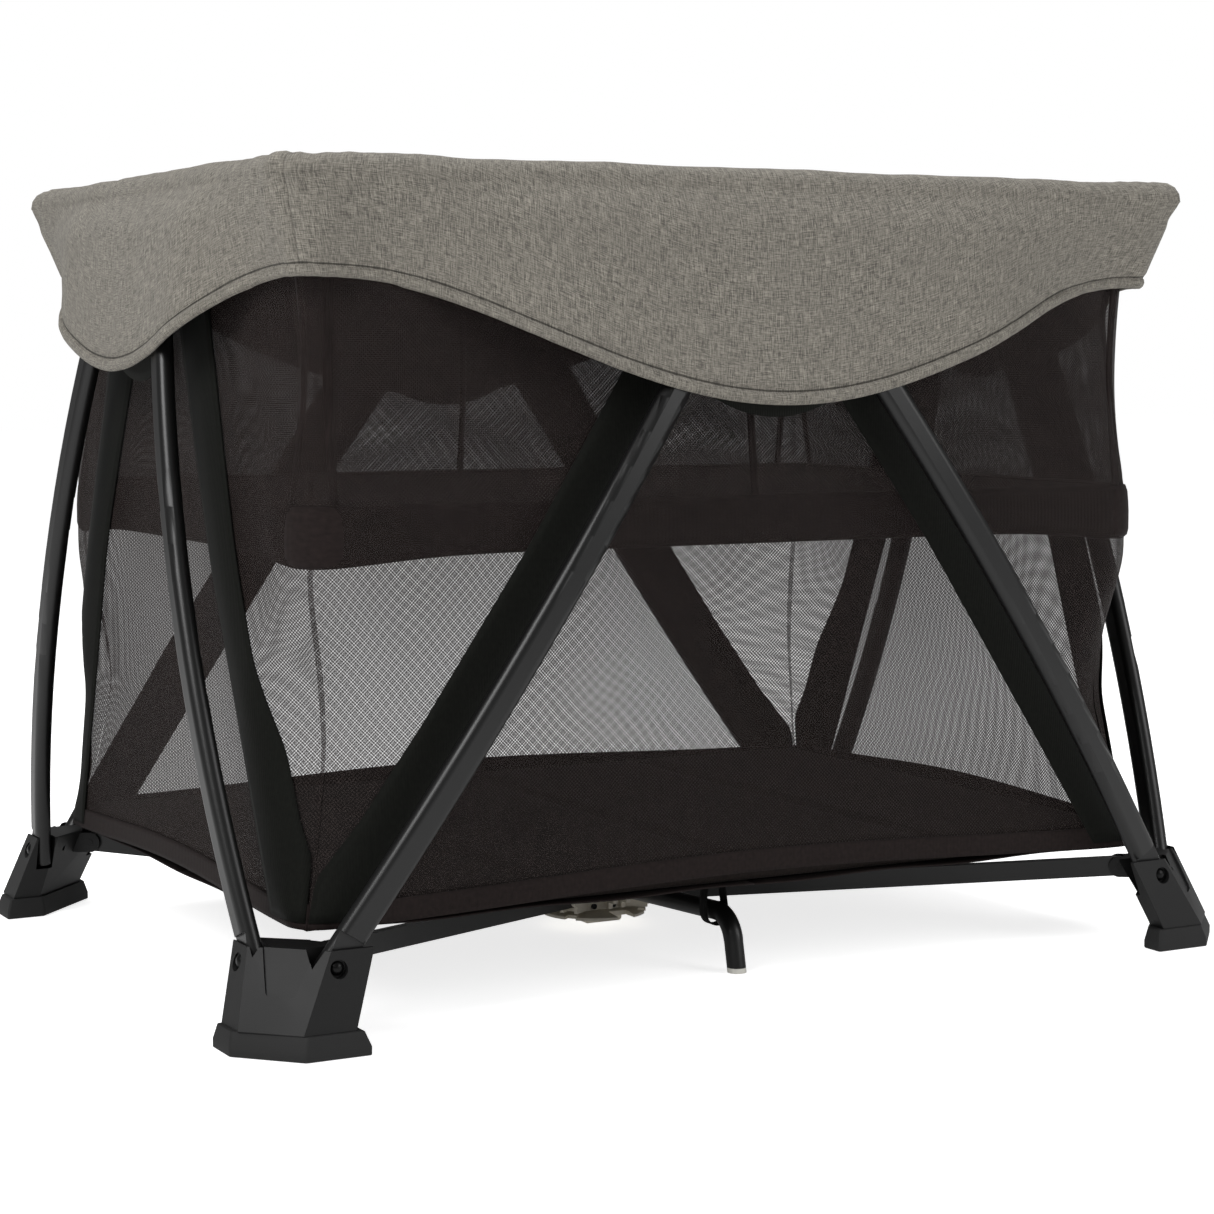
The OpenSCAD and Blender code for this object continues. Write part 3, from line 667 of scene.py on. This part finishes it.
def mattressTop(gx, gy):
    creases = sum(np.exp(-((gx - c) / 0.007) ** 2) for c in mattress["folds"])
    edge = np.maximum(np.abs(gx) / 0.470, np.abs(gy) / 0.330)
    return 0.1238 - mattress["crease"] * creases - 0.004 * np.clip((edge - 0.97) / 0.03, 0, 1) ** 2


matProfile = [(0.0120, 0.1022), (0.0030, 0.1040), (0.0, 0.1090), (0.0, 0.1160), (0.0025, 0.1205),
              (0.0100, 0.1228), (0.0250, 0.1222)]
matSides = slabRings(0.474, 0.334, 0.030, matProfile)
padParts = [gridObject("mattress_sides", matSides, ringUv(matSides), mattressCloth, closed=True),
            flatCap("mattress_top", 0.462, 0.322, 0, mattressCloth, shape=mattressTop),
            flatCap("mattress_base", 0.460, 0.320, 0.1024, mattressCloth, 3, 3, up=False)]
pad = joinPieces("mattress_pad", padParts)
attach(pad, "mattress")
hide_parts("mattress")


# bassinet: padded band and floor, mesh sides up to the rail, seams and a top tape
bassinet = {"liner": "2a2220", "sag": 0.004, "droop": 0.010, "meshFoot": 0.487, "meshRise": 0.270}
linerCloth = meshFabric("bassinet mesh", bassinet["liner"], mesh["open"] * 0.92)


def droop(points, amount):
    fromX, fromY = np.abs(points[..., 0]) - 0.47, np.abs(points[..., 1]) - 0.33
    corner = np.exp(-((fromX / 0.10) ** 2 + (fromY / 0.10) ** 2))
    points[..., 2] -= amount * corner
    return points


def softRing(points, size, amount, seed):
    for row in points:
        for p in row:
            n = noise.noise(Vector((p[0] * size, p[1] * size, p[2] * size * 0.7 + seed)))
            outward = Vector((p[0], p[1] * 1.4, 0)).normalized()
            p[0] += outward.x * amount * n
            p[1] += outward.y * amount * n
    return points


bandProfile = [(0.0200, 0.4430), (0.0060, 0.4410), (0.0015, 0.4450), (0.0, 0.4510), (0.0, 0.4600),
               (0.0005, 0.4700), (0.0015, 0.4810), (0.0040, 0.4880), (0.0100, 0.4895), (0.0160, 0.4870)]
bandRings = softRing(slabRings(0.4835, 0.3445, 0.040, bandProfile), 9.0, 0.0016, 4.0)
bandRings[:4] = droop(bandRings[:4], bassinet["droop"])
trayBand = gridObject("bassinet_band", bandRings, ringUv(bandRings), trayCloth, closed=True)
trayFloor = flatCap("bassinet_floor", 0.468, 0.329, 0, trayCloth,
                    shape=lambda gx, gy: 0.4865 - bassinet["sag"] * np.cos(gx * 3.2) * np.cos(gy * 4.6)
                    + 0.0008 * np.sin(gx * 40) * np.sin(gy * 33))
trayBase = flatCap("bassinet_base", 0.464, 0.325, 0, trayCloth, 49, 35, up=False,
                   shape=lambda gx, gy: 0.4400 - 0.003 * np.cos(gx * 3.2) * np.cos(gy * 4.6))
tray = joinPieces("bassinet_tray_fabric", [trayBand, trayFloor, trayBase])
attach(tray, "bassinet")
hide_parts("bassinet_tray")


# the mesh waists in a little between the band and the rail
def meshInset(f):
    return 0.006 + 0.012 * math.sin(math.pi * f)


def meshHeight(f):
    return bassinet["meshFoot"] + bassinet["meshRise"] * f


linerProfile = [(meshInset(k), meshHeight(k)) for k in np.linspace(0, 1, 24)]
linerRings = softRing(slabRings(0.4835, 0.3435, 0.038, linerProfile), 12.0, 0.0022, 9.0)
liner = gridObject("bassinet_mesh_sides", linerRings, ringUv(linerRings), linerCloth, closed=True)
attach(liner, "bassinet")
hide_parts("bassinet_liner")
seams = []
spots = [(s, side) for side in ("front", "back") for s in (-0.448, 0.0, 0.448)]
spots += [(s, side) for side in ("left", "right") for s in (-0.308, 0.308)]
for k, (s, side) in enumerate(spots):
    rows, uvRows = [], []
    for f in np.linspace(0, 1, 20):
        rows.append(onRing(side, np.linspace(-0.004, 0.004, 3) + s, np.full(3, meshHeight(f)),
                           -0.0052 - meshInset(f), 0.03, True))
        uvRows.append(np.stack([np.linspace(0, 0.008, 3), np.full(3, bassinet["meshRise"] * f)], axis=-1))
    seam = gridObject("bassinet_seam_%d" % k, np.array(rows), np.array(uvRows), trayCloth, 0.0012, 1.0)
    seams.append(seam)
topRings = slabRings(0.4835, 0.3435, 0.038, [(0.0065, 0.736), (0.0050, 0.746), (0.0050, 0.757)])
topTape = gridObject("bassinet_top_tape", topRings, ringUv(topRings), trayCloth, 0.0014, 1.0, closed=True)
seams.append(topTape)
for seam in seams:
    applyModifiers(seam)
trim = joinPieces("bassinet_trim", seams)
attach(trim, "bassinet")
print("mattress and bassinet made")


# webbing: pull strap over the hub and tie loop round the front support leg
webbing = {"colour": "0b0b0b", "loopWidth": 0.013, "strapWidth": 0.025, "thickness": 0.0016}
webCloth = knitFabric("polyester webbing", webbing["colour"], 0.1, 1.0)


def ribbon(name, path, width, thickness, material, widthAxis):
    path = np.array(path)
    axis = np.array(widthAxis, float)
    rows = [path + axis * w for w in np.linspace(-width / 2, width / 2, 4)]
    run = np.concatenate([[0], np.cumsum(np.linalg.norm(np.diff(path, axis=0), axis=1))])
    uvRows = [np.stack([run, np.full(len(path), w)], axis=-1) for w in np.linspace(0, width, 4)]
    item = gridObject(name, np.array(rows), np.array(uvRows), material, thickness, 0.0)
    return applyModifiers(item)


loopCentre = (0.011, -0.246)
angles = np.linspace(-0.92 * math.pi, 0.92 * math.pi, 49)
tear = []
for a in angles:
    across = 0.0165 * math.sin(a) * (0.55 + 0.45 * math.cos(a / 2 + 0.5)) + 0.0015 * math.sin(3 * a)
    height = 0.0660 - 0.0240 * math.cos(a) + 0.004 * (abs(a) / math.pi) ** 4
    tear.append((loopCentre[0] + across, loopCentre[1], height))
sewn = [(loopCentre[0] + d, loopCentre[1], 0.0975) for d in (-0.002, 0.002)]
tearTop = [sewn[0]] + tear + [sewn[1]]
loop = ribbon("tie_loop", tearTop, webbing["loopWidth"], webbing["thickness"], webCloth, (0, 1, 0))
strapPath = [(-0.0150, 0, z) for z in np.linspace(0.0604, 0.088, 8)]
bend = np.linspace(0.2, math.pi - 0.2, 13)
strapPath += [(-0.0150 * math.cos(a), 0, 0.088 + 0.0075 * math.sin(a)) for a in bend]
strapPath += [(0.0150, 0, z) for z in np.linspace(0.088, 0.0604, 8)]
pull = ribbon("pull_strap", strapPath, webbing["strapWidth"], webbing["thickness"], webCloth, (0, 1, 0))
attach(loop, "support_leg_front")
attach(pull, "floor_hub")
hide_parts("webbing_straps")
print("webbing made")


# a copy with rounded edges takes the place of a moulded node
def bevelledCopy(nodeName, width, segments, angle=32):
    source = nodes[nodeName]
    copy = bpy.data.objects.new(nodeName + "_soft", source.data.copy())
    bpy.context.scene.collection.objects.link(copy)
    bpy.ops.object.select_all(action="DESELECT")
    copy.select_set(True)
    bpy.context.view_layer.objects.active = copy
    if copy.data.has_custom_normals:
        bpy.ops.mesh.customdata_custom_splitnormals_clear()
    weld = copy.modifiers.new("weld", "WELD")
    weld.merge_threshold = 0.00002
    bevel = copy.modifiers.new("moulded edges", "BEVEL")
    bevel.width = width
    bevel.segments = segments
    bevel.limit_method = "ANGLE"
    bevel.angle_limit = math.radians(angle)
    bevel.use_clamp_overlap = True
    applyModifiers(copy)
    bpy.ops.object.shade_smooth_by_angle(angle=math.radians(50))
    copy.modifiers.new("flat faces stay flat", "WEIGHTED_NORMAL").keep_sharp = True
    applyModifiers(copy)
    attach(copy, source["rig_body"])
    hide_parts(nodeName)
    return copy


for nodeName in sorted(nodes):
    if nodeName.startswith("foot_rivets"):
        continue
    if nodeName.startswith("foot_sole"):
        bevelledCopy(nodeName, 0.0022, 3)
    elif nodeName.startswith("foot_"):
        bevelledCopy(nodeName, 0.0009, 2)
print("moulded edges made")

# camera, lights, white surroundings and floor
studio = {"key": 120, "fill": 60, "top": 110, "aroundOnObject": 0.24, "glow": 0.16, "glowSeen": 0.78}
camera = bpy.data.cameras.new("camera")
camera.lens = 81.85
camera.sensor_width = 36
camera.clip_end = 60
cameraObject = bpy.data.objects.new("camera", camera)
cameraObject.location = (-1.4251, -2.6566, 0.6250)
cameraObject.rotation_euler = (math.radians(84.8), 0, math.radians(-28.5))
bpy.context.scene.collection.objects.link(cameraObject)
bpy.context.scene.camera = cameraObject


def areaLight(name, place, target, size, power):
    data = bpy.data.lights.new(name, "AREA")
    data.shape = "RECTANGLE"
    data.size, data.size_y = size
    data.energy = power
    item = bpy.data.objects.new(name, data)
    item.location = place
    item.rotation_euler = (Vector(target) - Vector(place)).to_track_quat("-Z", "Y").to_euler()
    bpy.context.scene.collection.objects.link(item)


areaLight("key", (-3.4, -1.6, 3.0), (0, 0, 0.45), (2.0, 2.0), studio["key"])
areaLight("fill", (2.6, -3.6, 2.2), (0, 0, 0.4), (2.4, 2.0), studio["fill"])
areaLight("top", (0.2, 0.6, 4.2), (0, 0, 0.5), (3.0, 3.0), studio["top"])
world = bpy.data.worlds.new("studio")
world.use_nodes = True
tree = world.node_tree
# the white surroundings are seen at full strength and light the object softly
rays = tree.nodes.new("ShaderNodeLightPath")
strength = tree.nodes.new("ShaderNodeMapRange")
strength.inputs["To Min"].default_value = studio["aroundOnObject"]
strength.inputs["To Max"].default_value = 1.0
tree.links.new(rays.outputs["Is Camera Ray"], strength.inputs["Value"])
tree.links.new(strength.outputs["Result"], tree.nodes["Background"].inputs["Strength"])
tree.nodes["Background"].inputs["Color"].default_value = (1, 1, 1, 1)
bpy.context.scene.world = world
bpy.ops.mesh.primitive_plane_add(size=40, location=(0, 0, -0.0005))
floor = bpy.context.view_layer.objects.active
floor.name = "studio_floor"
floorMaterial, floorShader = newMaterial("white studio floor")
floorShader.inputs["Base Color"].default_value = (0.93, 0.93, 0.93, 1)
floorShader.inputs["Roughness"].default_value = 0.9
floorShader.inputs["Emission Color"].default_value = (1, 1, 1, 1)
seen = addNode(floorMaterial, "ShaderNodeLightPath").outputs["Is Camera Ray"]
glow = addNode(floorMaterial, "ShaderNodeMapRange",
               {"To Min": studio["glow"], "To Max": studio["glowSeen"], "Value": seen})
link(floorMaterial, glow.outputs["Result"], floorShader.inputs["Emission Strength"])
floor.data.materials.append(floorMaterial)
bpy.context.scene.view_settings.view_transform = "Standard"
print("stage made")
